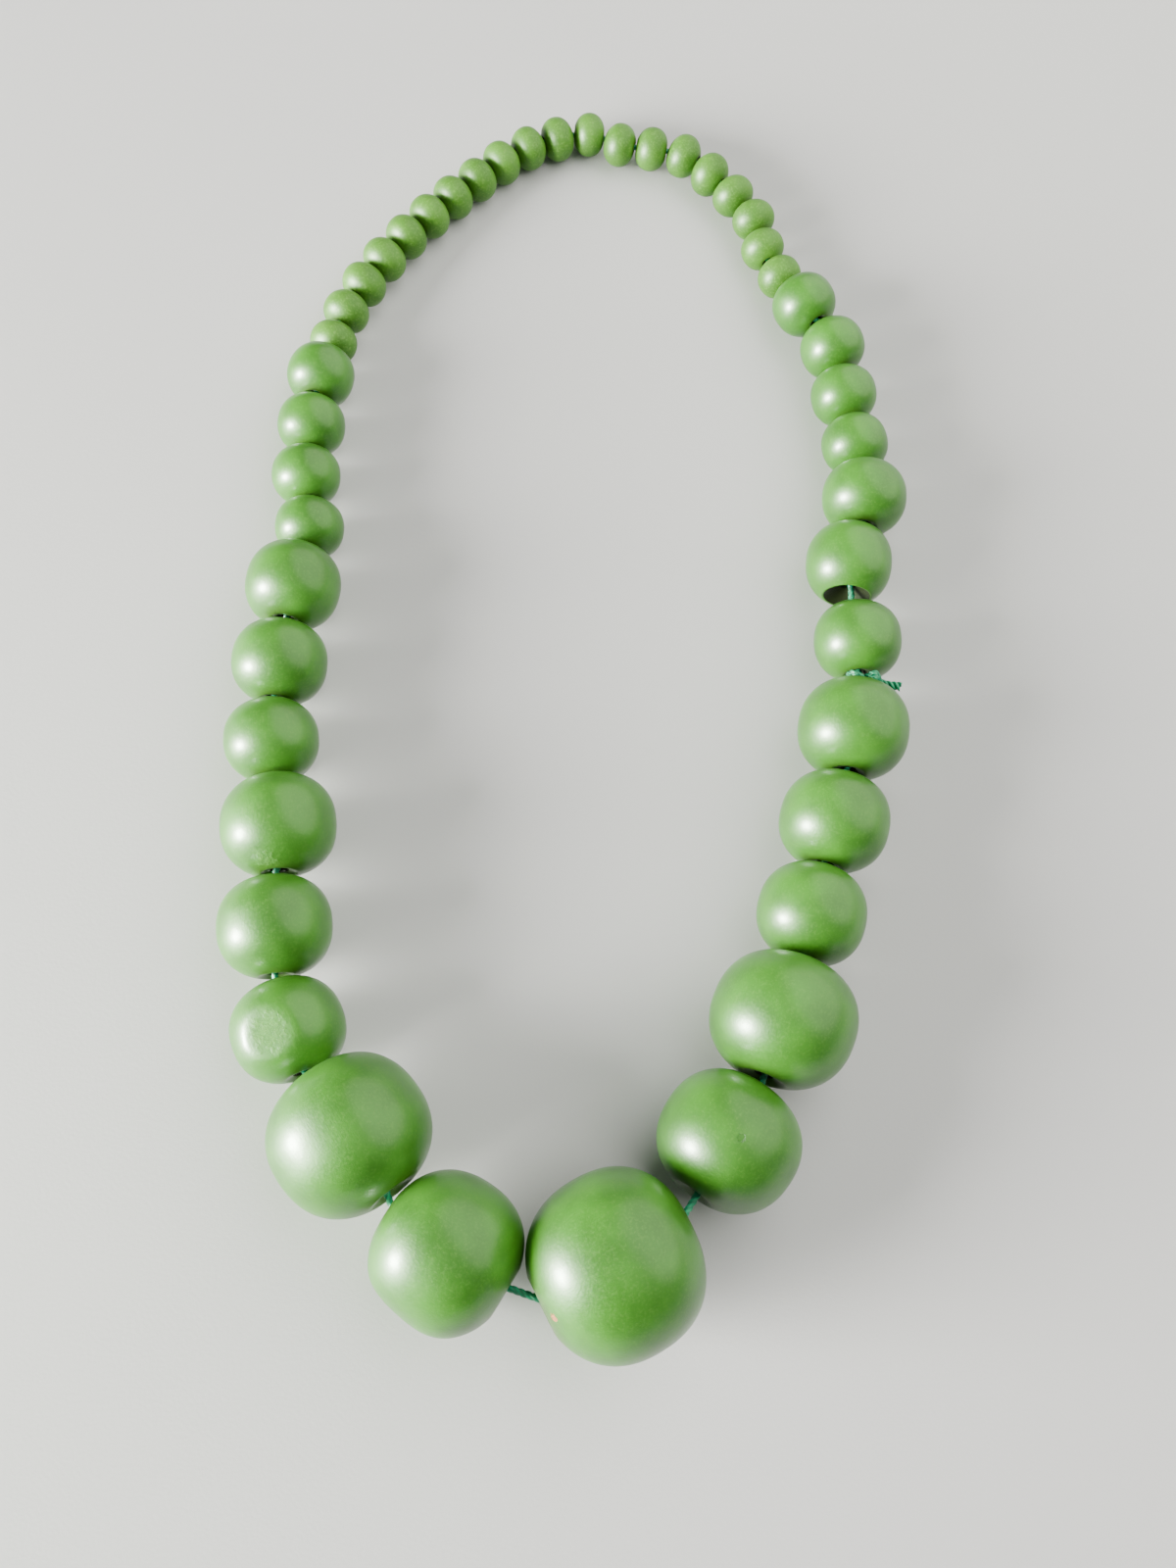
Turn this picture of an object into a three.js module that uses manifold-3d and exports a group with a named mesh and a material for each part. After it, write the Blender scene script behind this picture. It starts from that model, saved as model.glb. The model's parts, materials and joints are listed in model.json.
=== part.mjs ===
// Beaded necklace: one string of graduated round wooden beads, drilled, painted and knotted into a loop,
// lying on a flat surface. Millimetres, +Z up, +X to the right and +Y away from the front of the loop.
// The origin lies on the surface, under the middle of the necklace.
import * as THREE from "three";
import { mergeVertices } from "three/addons/utils/BufferGeometryUtils.js";
import Module from "manifold-3d";

// Main sizes: every bead is sized from the biggest one, and the loop closes round them
const BIGGEST_BEAD = 35;
const THREAD_DIAMETER = 1.5;

// Thread and knot
const THREAD_SIDES = 6;
const KNOT_THICKNESS = 1.6; // along the string, in thread diameters: two strands pressed into each other
const KNOT_AFTER = 30; // the knot follows this bead
const STUB_DEPTH = 2; // how far the knot's own strands reach into the two bores beside it
const STUB_CLEARANCE = 0.3; // between them and the thread's ends
const KNOT_SIDES = 8;
const KNOT_STEPS = 24;

// Beads
const BEAD_CLEARANCE = 0.15; // between beads that are pushed together
const SMALL_BORE = THREAD_DIAMETER + 1.3; // the thread lies loosely in the bores
const LARGE_BORE = THREAD_DIAMETER + 1.9;
const ROUNDING = 0.87; // a bead's section: 1 is an ellipse, and less has squarer shoulders
const END_SHARE = 0.32; // radius of a bead's ends, as a share of its own
const DISH_SHARE = 0.07; // how deep the ends are dished, as a share of the bead's radius
const FINE = { sides: 14, bands: 8 };
const COARSE = { sides: 10, bands: 6 };

// How finely the string is laid along its line
const PLAN_DIVISIONS = 2000;
const SETTLING_PASSES = 12;
const HALVINGS = 30;
const LONGEST_DETOUR = 1.6; // line between two beads, as a share of the straight way between them
const SMALLEST_SCALE = 0.5;
const LARGEST_SCALE = 2;

// The beads in order round the string, from the back of the loop along its left side: the diameter as a
// share of the biggest bead's, and the length along the thread as a share of the diameter. Both run evenly
// from the first bead of a run to its last.
const runs = [
  { count: 12, diameter: [0.3029, 0.3257], length: [0.75, 0.79], bore: SMALL_BORE, mesh: COARSE },
  { count: 4, diameter: [0.4571, 0.4514], length: [0.85, 0.83], bore: LARGE_BORE, mesh: FINE },
  { count: 3, diameter: [0.6057, 0.5829], length: [0.885, 0.86], bore: LARGE_BORE, mesh: FINE },
  { count: 3, diameter: [0.6914, 0.6571], length: [0.885, 0.875], bore: LARGE_BORE, mesh: FINE },
  { count: 2, diameter: [0.9029, 0.8629], length: [0.9, 0.9], bore: LARGE_BORE, mesh: FINE },
  { count: 1, diameter: [1, 1], length: [0.915, 0.915], bore: LARGE_BORE, mesh: FINE },
  { count: 2, diameter: [0.8229, 0.8629], length: [0.88, 0.875], bore: LARGE_BORE, mesh: FINE },
  { count: 3, diameter: [0.6657, 0.7029], length: [0.9, 0.885], bore: LARGE_BORE, mesh: FINE },
  { count: 3, diameter: [0.5714, 0.5714], length: [0.88, 0.85], bore: LARGE_BORE, mesh: FINE },
  { count: 4, diameter: [0.4571, 0.4543], length: [0.855, 0.85], bore: LARGE_BORE, mesh: FINE },
  { count: 8, diameter: [0.3229, 0.3057], length: [0.79, 0.75], bore: SMALL_BORE, mesh: COARSE },
];

// Extra room that the loosely strung beads leave behind them, by bead number
const slackAfter = new Map([
  [25, 1.6 * THREAD_DIAMETER],
  [31, 0.8 * THREAD_DIAMETER],
  [KNOT_AFTER, KNOT_THICKNESS * THREAD_DIAMETER + BEAD_CLEARANCE],
]);

// Beads that lie askew on the thread: how far each is turned to the left, in degrees, by bead number
const askew = new Map([
  [24, -6],
  [25, 8],
]);

// Beads with wider and deeper ends than the rest, as shares of their radius, by bead number
const countersunk = new Map([
  [32, { end: 0.56, dish: 0.3 }],
]);

// Flats worn or cut into single beads: how wide, as a share of the bead's diameter, and which way each faces
const flats = [
  { bead: 13, width: 0.35, azimuth: 140, elevation: 12 },
  { bead: 22, width: 0.43, azimuth: 224, elevation: 74 },
  { bead: 24, width: 0.265, azimuth: 228, elevation: 8 },
];

// The line that the string lies along, seen from above, before it is scaled to fit the beads
const route = [
  [3.5, 147],
  [-12.5, 141.5],
  [-26, 130.5],
  [-38.5, 117.5],
  [-49, 104],
  [-57.5, 88.5],
  [-62.5, 68],
  [-64.5, 40],
  [-63, 27],
  [-65.5, 10],
  [-68, -27.5],
  [-65, -47],
  [-64.5, -69.5],
  [-60.5, -90],
  [-46.5, -111],
  [-27, -133],
  [5, -135],
  [28.5, -111.5],
  [40.5, -87.5],
  [48.5, -64.5],
  [60.5, -22.5],
  [63.5, 0],
  [63, 20],
  [68, 37.5],
  [65.5, 67.5],
  [63.5, 81.5],
  [57, 94],
  [48, 112.5],
  [46, 121.5],
  [35, 135.5],
  [27.5, 141.5],
  [11.5, 144],
];

// The knot's two strands, each from its bore to its cut end, in thread diameters: to the side away from
// the middle of the loop, up, and along the string
const strands = [
  [
    { side: 0, up: 0, along: 0.3 },
    { side: -1.2, up: 0.3, along: 0.3 },
    { side: -1.75, up: 1.0, along: 0.2 },
    { side: -1.1, up: 2.1, along: 0.05 },
    { side: -0.2, up: 1.7, along: -0.1 },
    { side: 0.6, up: 1.0, along: 0.05 },
    { side: 1.25, up: 1.6, along: 0.3 },
    { side: 1.85, up: 2.4, along: 0.32 },
    { side: 2.5, up: 1.6, along: 0.3 },
    { side: 3.1, up: 0.7, along: 0.1 },
    { side: 4.1, up: 0.6, along: -0.1 },
    { side: 5.2, up: 0.8, along: -0.35 },
    { side: 6.2, up: 0.9, along: -0.5 },
  ],
  [
    { side: 0, up: 0, along: -0.3 },
    { side: 0.9, up: 0.4, along: -0.35 },
    { side: 1.25, up: 1.5, along: -0.35 },
    { side: 1.9, up: 2.35, along: -0.35 },
    { side: 2.4, up: 1.3, along: -0.35 },
    { side: 1.7, up: 0, along: -0.3 },
    { side: 0.2, up: -0.9, along: 0 },
    { side: -1.3, up: -0.4, along: -0.25 },
    { side: -2.1, up: 0.7, along: -0.3 },
    { side: -1.6, up: 1.6, along: -0.35 },
    { side: -0.8, up: 2.2, along: -0.4 },
  ],
];

const wasm = await Module();
wasm.setup();

const green = new THREE.MeshStandardMaterial({ color: 0x63934a, roughness: 0.35, metalness: 0 });
const emerald = new THREE.MeshStandardMaterial({ color: 0x1f8a68, roughness: 0.4, metalness: 0 });
const up = new THREE.Vector3(0, 0, 1);

// A closed geometry whose faces share their vertices, as a solid
function toSolid(geometry) {
  geometry.deleteAttribute("normal");
  geometry.deleteAttribute("uv");
  const merged = mergeVertices(geometry, 1e-4);
  const vertProperties = new Float32Array(merged.attributes.position.array);
  const triVerts = new Uint32Array(merged.index.array);
  return new wasm.Manifold(new wasm.Mesh({ numProp: 3, vertProperties, triVerts }));
}

function toGeometry(solid) {
  const { vertProperties, triVerts } = solid.getMesh();
  const geometry = new THREE.BufferGeometry();
  geometry.setAttribute("position", new THREE.BufferAttribute(vertProperties, 3));
  geometry.setIndex(new THREE.BufferAttribute(triVerts, 1));
  return geometry;
}

// One side of a bead's section, from end to end: a rounded barrel
function barrel(radius, half, end, bands) {
  const widest = Math.acos(end ** (1 / ROUNDING));
  const longest = Math.sin(widest) ** ROUNDING;
  return Array.from({ length: bands + 1 }, (_, k) => {
    const turned = widest * ((2 * k) / bands - 1);
    const along = (Math.sign(turned) * Math.abs(Math.sin(turned)) ** ROUNDING) / longest;
    return new THREE.Vector2(radius * Math.cos(turned) ** ROUNDING, half * along);
  });
}

// The beads of one run, each with its own radius and half length
function beadsOfRun({ count, diameter, length, bore, mesh }) {
  return Array.from({ length: count }, (_, i) => {
    const share = count > 1 ? i / (count - 1) : 0;
    const radius = (BIGGEST_BEAD * THREE.MathUtils.lerp(...diameter, share)) / 2;
    const half = radius * THREE.MathUtils.lerp(...length, share);
    return { radius, half, bore: bore / 2, mesh };
  });
}

// Gives each bead its section
function shape(beads) {
  beads.forEach((bead, i) => {
    const { end, dish } = countersunk.get(i + 1) ?? { end: END_SHARE, dish: DISH_SHARE };
    bead.side = barrel(bead.radius, bead.half, end, bead.mesh.bands);
    bead.mouth = bead.half - dish * bead.radius;
  });
}

// How far a bead reaches from its centre towards a neighbour that lies at this angle off its axis
function reach(bead, angle) {
  return Math.max(...bead.side.map(({ x, y }) => y * Math.cos(angle) + x * Math.sin(angle)));
}

// Distance between the centres of a bead and the next one when the two are strung together
function spacing(beads, i) {
  const [a, b] = [beads[i], beads[(i + 1) % beads.length]];
  const slack = slackAfter.get(i + 1) ?? 0;
  return reach(a, a.bendAfter ?? 0) + reach(b, b.bendBefore ?? 0) + BEAD_CLEARANCE + slack;
}

// The plan line as a closed curve
const plan = new THREE.CatmullRomCurve3(
  route.map(([x, y]) => new THREE.Vector3(x, y, 0)), true, "centripetal",
);
plan.arcLengthDivisions = PLAN_DIVISIONS;

// Walks the beads along the plan line, which is first scaled about the origin. Each bead rests on the
// surface at its own distance from the last one. Returns the share of the line that the string takes.
function walk(beads, scale) {
  const length = plan.getLength() * scale;
  const at = (share, bead) => plan.getPointAt(share % 1).multiplyScalar(scale).setZ(bead.radius);
  beads[0].centre = at(0, beads[0]);
  return beads.reduce((share, bead, i) => {
    const next = beads[(i + 1) % beads.length];
    const step = spacing(beads, i);
    let [near, far] = [share, share + (LONGEST_DETOUR * step) / length];
    for (let k = 0; k < HALVINGS; k++) {
      const middle = (near + far) / 2;
      if (at(middle, next).distanceTo(bead.centre) < step) near = middle;
      else far = middle;
    }
    if (next !== beads[0]) next.centre = at(near, next);
    return near;
  }, 0);
}

// Turns each bead along the string, and notes the angle between its axis and each of its neighbours
function turn(beads) {
  const count = beads.length;
  beads.forEach((bead, i) => {
    const before = bead.centre.clone().sub(beads[(i + count - 1) % count].centre).normalize();
    const after = beads[(i + 1) % count].centre.clone().sub(bead.centre).normalize();
    bead.axis = before.clone().add(after).normalize();
    bead.axis.applyAxisAngle(up, THREE.MathUtils.degToRad(askew.get(i + 1) ?? 0));
    bead.bendBefore = bead.axis.angleTo(before);
    bead.bendAfter = bead.axis.angleTo(after);
  });
}

// Places the beads so that the string closes on itself: the plan line grows or shrinks to fit the beads.
// The beads' turns and distances settle over a few passes.
function string(beads) {
  for (let pass = 0; pass < SETTLING_PASSES; pass++) {
    let [small, large] = [SMALLEST_SCALE, LARGEST_SCALE];
    for (let k = 0; k < HALVINGS; k++) {
      const scale = (small + large) / 2;
      if (walk(beads, scale) > 1) small = scale;
      else large = scale;
    }
    walk(beads, large);
    turn(beads);
  }
}

// A drilled bead along +Y
function beadGeometry({ side, bore, mouth, mesh }) {
  const outline = [...side, new THREE.Vector2(bore, mouth), new THREE.Vector2(bore, -mouth), side[0]];
  return new THREE.LatheGeometry(outline, mesh.sides);
}

// Cuts a bead flat where it was worn
function cutFlat(geometry, bead, rotation, { width, azimuth, elevation }) {
  const [turned, raised] = [azimuth, elevation].map(THREE.MathUtils.degToRad);
  const facing = new THREE.Vector3(
    Math.cos(raised) * Math.cos(turned),
    Math.cos(raised) * Math.sin(turned),
    Math.sin(raised),
  ).applyQuaternion(rotation.clone().invert());
  const size = 2 * bead.radius;
  const depth = bead.radius * Math.sqrt(1 - width ** 2);
  const block = new THREE.BoxGeometry(size, size, size).translate(0, 0, depth + size / 2);
  block.applyQuaternion(new THREE.Quaternion().setFromUnitVectors(up, facing));
  return toGeometry(toSolid(geometry).subtract(toSolid(block)));
}

// A bead's mesh, turned so that a corner of its widest ring points straight down
function beadMesh(bead, number) {
  const down = up.clone().negate().addScaledVector(bead.axis, bead.axis.z).normalize();
  const across = bead.axis.clone().cross(down);
  const rotation = new THREE.Quaternion().setFromRotationMatrix(
    new THREE.Matrix4().makeBasis(across, bead.axis, down),
  );
  let geometry = mergeVertices(beadGeometry(bead).deleteAttribute("normal").deleteAttribute("uv"), 1e-4);
  for (const flat of flats.filter((row) => row.bead === number)) {
    geometry = cutFlat(geometry, bead, rotation, flat);
  }
  const mesh = new THREE.Mesh(geometry, green);
  mesh.name = `bead_${String(number).padStart(2, "0")}`;
  mesh.position.copy(bead.centre);
  mesh.quaternion.copy(rotation);
  return mesh;
}

// A round tube along a path
function tube(extrudePath, sides, steps) {
  const section = new THREE.Shape();
  for (let k = 0; k < sides; k++) {
    const angle = (2 * Math.PI * k) / sides;
    const [x, y] = [Math.cos(angle), Math.sin(angle)].map((v) => (v * THREAD_DIAMETER) / 2);
    if (k === 0) section.moveTo(x, y);
    else section.lineTo(x, y);
  }
  section.closePath();
  return new THREE.ExtrudeGeometry(section, { steps, extrudePath, bevelEnabled: false });
}

const mouthBefore = (bead) => bead.centre.clone().addScaledVector(bead.axis, -bead.mouth);
const mouthAfter = (bead) => bead.centre.clone().addScaledVector(bead.axis, bead.mouth);
const middleOf = (a, b) => a.clone().add(b).multiplyScalar(0.5);

// A line that takes one step from each point to the next, so that it runs straight through the bores
class MouthToMouth extends THREE.CatmullRomCurve3 {
  getPointAt(share, target) {
    return this.getPoint(share, target);
  }

  getTangentAt(share, target) {
    return this.getTangent(share, target);
  }
}

// The thread, from its end beside the knot, through every bead in turn, to the knot's other side
function threadMesh(beads) {
  const count = beads.length;
  const order = beads.map((_, i) => beads[(KNOT_AFTER + i) % count]);
  const inset = STUB_DEPTH + STUB_CLEARANCE;
  const points = order.flatMap((bead) => [mouthBefore(bead), mouthAfter(bead)]);
  points[0].addScaledVector(order[0].axis, inset);
  points[points.length - 1].addScaledVector(order[count - 1].axis, -inset);
  const line = new MouthToMouth(points, false, "catmullrom");
  const mesh = new THREE.Mesh(tube(line, THREAD_SIDES, points.length - 1), emerald);
  mesh.name = "thread";
  return mesh;
}

// The knot: two strands that come out of the bores on either side, cross and end cut off
function knotMesh(beads) {
  const [before, after] = [beads[KNOT_AFTER - 1], beads[KNOT_AFTER % beads.length]];
  const middle = middleOf(mouthAfter(before), mouthBefore(after));
  const along = after.centre.clone().sub(before.centre).normalize();
  const side = along.clone().cross(up).normalize();
  const raised = side.clone().cross(along);
  const place = (point) => middle.clone()
    .addScaledVector(side, point.side * THREAD_DIAMETER)
    .addScaledVector(raised, point.up * THREAD_DIAMETER)
    .addScaledVector(along, point.along * THREAD_DIAMETER);
  const stubs = [
    mouthBefore(after).addScaledVector(after.axis, STUB_DEPTH),
    mouthAfter(before).addScaledVector(before.axis, -STUB_DEPTH),
  ];
  const solids = strands.map((strand, i) => {
    const points = [stubs[i], ...strand.map(place)];
    return toSolid(tube(new THREE.CatmullRomCurve3(points), KNOT_SIDES, KNOT_STEPS));
  });
  const mesh = new THREE.Mesh(toGeometry(solids[0].add(solids[1])), emerald);
  mesh.name = "knot";
  return mesh;
}

const beads = runs.flatMap(beadsOfRun);
shape(beads);
string(beads);

const necklace = new THREE.Group();
beads.forEach((bead, i) => necklace.add(beadMesh(bead, i + 1)));
necklace.add(threadMesh(beads), knotMesh(beads));

// Stands the necklace on the surface, centred on the origin
const box = new THREE.Box3().setFromObject(necklace, true);
const middle = box.getCenter(new THREE.Vector3());
necklace.position.set(-middle.x, -middle.y, -box.min.z);

export default necklace;
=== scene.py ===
"""Looks, light and camera for a necklace of green painted wooden beads, lying on a flat surface.

Every bead, the thread and the knot are built as fine meshes where their CAD nodes lie. Metres, +Z up.
"""

import json
import logging
import math
from collections.abc import Sequence
from dataclasses import dataclass, field
from enum import Enum

import bpy
import numpy as np
from mathutils import Matrix, Vector

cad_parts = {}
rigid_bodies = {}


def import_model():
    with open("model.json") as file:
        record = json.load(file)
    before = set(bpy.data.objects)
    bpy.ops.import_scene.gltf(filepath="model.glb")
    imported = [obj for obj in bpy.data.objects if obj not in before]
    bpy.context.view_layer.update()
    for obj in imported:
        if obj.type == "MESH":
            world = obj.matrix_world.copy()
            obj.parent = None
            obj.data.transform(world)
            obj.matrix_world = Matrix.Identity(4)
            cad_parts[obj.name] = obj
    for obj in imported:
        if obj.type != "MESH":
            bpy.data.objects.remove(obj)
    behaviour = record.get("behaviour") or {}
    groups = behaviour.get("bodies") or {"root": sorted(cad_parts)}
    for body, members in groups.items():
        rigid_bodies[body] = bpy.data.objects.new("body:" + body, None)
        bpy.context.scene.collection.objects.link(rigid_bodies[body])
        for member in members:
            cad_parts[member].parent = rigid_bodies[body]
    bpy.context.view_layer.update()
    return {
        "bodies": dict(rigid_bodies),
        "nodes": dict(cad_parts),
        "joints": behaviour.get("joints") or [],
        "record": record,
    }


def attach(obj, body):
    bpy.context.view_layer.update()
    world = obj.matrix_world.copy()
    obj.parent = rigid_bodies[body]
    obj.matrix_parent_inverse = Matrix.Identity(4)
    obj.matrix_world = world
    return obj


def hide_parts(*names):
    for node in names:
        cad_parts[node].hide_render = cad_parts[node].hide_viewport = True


LOG = logging.getLogger("necklace")

MM = 0.001
BODY = "root"
BEAD_COUNT = 45
KNOT_AFTER = 30
THREAD_DIAMETER = 1.5 * MM
END_SHARE = 0.32
WOOD_SPACE = "wood"
OUTNESS = "outness"

# Steps and weights of the beads' outlines, before and after their corners are softened.
OUTLINE_STEPS = 120
SOFTENING_STEPS = 1200
EVEN_WEIGHT = 0.35
BEND_WEIGHT = 0.25
SHARPEST_BEND = 6

# Long waves that the turning left on the beads: how many, and how close, in radians to a radius.
WAVE_COUNT = 7
WAVE_PITCH = (2.0, 4.6)
FULLY_PRESSED = 30

# Steps between two points of a cord, a way that no cord starts in, and how far apart two strands' fibres lie.
STRETCH_STEPS = 24
FIRST_SIDE = (0.31, 0.17, 0.93)
STRANDS_APART = 30 * MM

BEAD_SEED = 1000
KNOT_SEED = 40

Colour = tuple[float, float, float]
Socket = bpy.types.NodeSocket


def facing(azimuth: float, elevation: float) -> np.ndarray:
    """The unit vector at these angles.

    Args:
        azimuth: Degrees to the left of +X, seen from above.
        elevation: Degrees above the horizon.

    Returns:
        The vector, as three numbers.
    """
    turned = math.radians(azimuth)
    raised = math.radians(elevation)
    level = math.cos(raised)
    return np.array([level * math.cos(turned), level * math.sin(turned), math.sin(raised)])


def unit(vector: np.ndarray) -> np.ndarray:
    """The vector at length one."""
    return vector / np.linalg.norm(vector)


class ShaderSketch:
    """A node material while it is put together."""

    def __init__(self, name: str) -> None:
        """Starts a material whose nodes are its principled shader and its output."""
        self.material = bpy.data.materials.new(name)
        self.material.use_nodes = True
        self.tree = self.material.node_tree
        self.shader = self.tree.nodes["Principled BSDF"]

    def node(
        self,
        kind: str,
        inputs: dict[str | int, object] | None = None,
        **settings: object,
    ) -> bpy.types.Node:
        """Adds a node.

        Args:
            kind: Its type name.
            inputs: Values or sockets for its inputs, by name or number.
            **settings: Values for its own properties.

        Returns:
            The node.
        """
        made = self.tree.nodes.new(kind)
        for key, value in settings.items():
            setattr(made, key, value)
        for key, value in (inputs or {}).items():
            self.feed(made.inputs[key], value)
        return made

    def feed(self, socket: Socket, value: object) -> None:
        """Links a socket to another one, or sets its value."""
        if isinstance(value, bpy.types.NodeSocket):
            self.tree.links.new(value, socket)
        else:
            socket.default_value = value

    def set(self, **inputs: object) -> None:
        """Sets or links inputs of the principled shader, with _ for each space in their names."""
        for key, value in inputs.items():
            self.feed(self.shader.inputs[key.replace("_", " ")], value)

    def place(self) -> Socket:
        """Where a point lies in the scene, in metres."""
        return self.node("ShaderNodeTexCoord").outputs["Object"]

    def wood_place(self, stretch: Sequence[float] = (1, 1, 1)) -> Socket:
        """Where a point lies in its own piece of wood, in metres.

        Args:
            stretch: Scales of the three directions, of which the third runs along the bore.

        Returns:
            The vector socket.
        """
        source = self.node("ShaderNodeAttribute", attribute_name=WOOD_SPACE).outputs["Vector"]
        return self.node("ShaderNodeMapping", {"Vector": source, "Scale": stretch}).outputs["Vector"]

    def noise(self, place: Socket, size: float, detail: float = 2.0, roughness: float = 0.5) -> Socket:
        """A cloudy value between 0 and 1.

        Args:
            place: The point that it is read at.
            size: About how wide its clouds are, in metres.
            detail: How many finer layers it has.
            roughness: How strong the finer layers are.

        Returns:
            The value's socket.
        """
        inputs = {"Vector": place, "Scale": 1 / size, "Detail": detail, "Roughness": roughness}
        return self.node("ShaderNodeTexNoise", inputs).outputs["Fac"]

    def span(self, value: Socket, low: float, high: float, to_low: float, to_high: float) -> Socket:
        """Maps a value from one range to another, and keeps it inside."""
        inputs = {"Value": value, 1: low, 2: high, 3: to_low, 4: to_high}
        return self.node("ShaderNodeMapRange", inputs, interpolation_type="SMOOTHSTEP").outputs["Result"]

    def math(self, operation: str, first: object, second: object) -> Socket:
        """The result of a sum on two values."""
        return self.node("ShaderNodeMath", {0: first, 1: second}, operation=operation).outputs[0]

    def blend(self, share: object, first: object, second: object) -> Socket:
        """Blends two colours.

        Args:
            share: How much of the second one.
            first: The first colour or its socket.
            second: The second colour or its socket.

        Returns:
            The blended colour's socket.
        """
        inputs = {0: share, 6: self.full(first), 7: self.full(second)}
        return self.node("ShaderNodeMix", inputs, data_type="RGBA").outputs[2]

    def full(self, colour: object) -> object:
        """A colour with its fourth number, or a socket as it is."""
        return colour if isinstance(colour, bpy.types.NodeSocket) else (*colour, 1.0)

    def bump(self, height: Socket, depth: float, under: Socket | None = None) -> Socket:
        """Raises the surface by a height.

        Args:
            height: The height, from 0 to 1.
            depth: How high 1 is, in metres.
            under: A bump that this one lies on.

        Returns:
            The normal's socket.
        """
        inputs = {"Height": height, "Distance": depth, "Strength": 1.0}
        if under is not None:
            inputs["Normal"] = under
        return self.node("ShaderNodeBump", inputs).outputs["Normal"]


class MarkKind(Enum):
    """What wear has left on a bead."""

    CHIP = "chip"
    NICK = "nick"
    SCUFF = "scuff"


@dataclass(frozen=True)
class Mark:
    """One worn spot: the bead, where it faces, how wide it is in metres, and its kind."""

    bead: int
    azimuth: float
    elevation: float
    width: float
    kind: MarkKind


@dataclass(frozen=True)
class Flat:
    """A flat on one bead: its width as a share of the diameter, where it faces, and its softness."""

    bead: int
    width: float
    azimuth: float
    elevation: float
    softness: float


@dataclass
class PaintLook:
    """The sockets that a paint's looks come from, while its wear is worked into them."""

    colour: Socket
    rough: Socket
    coat: Socket
    normal: Socket


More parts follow.
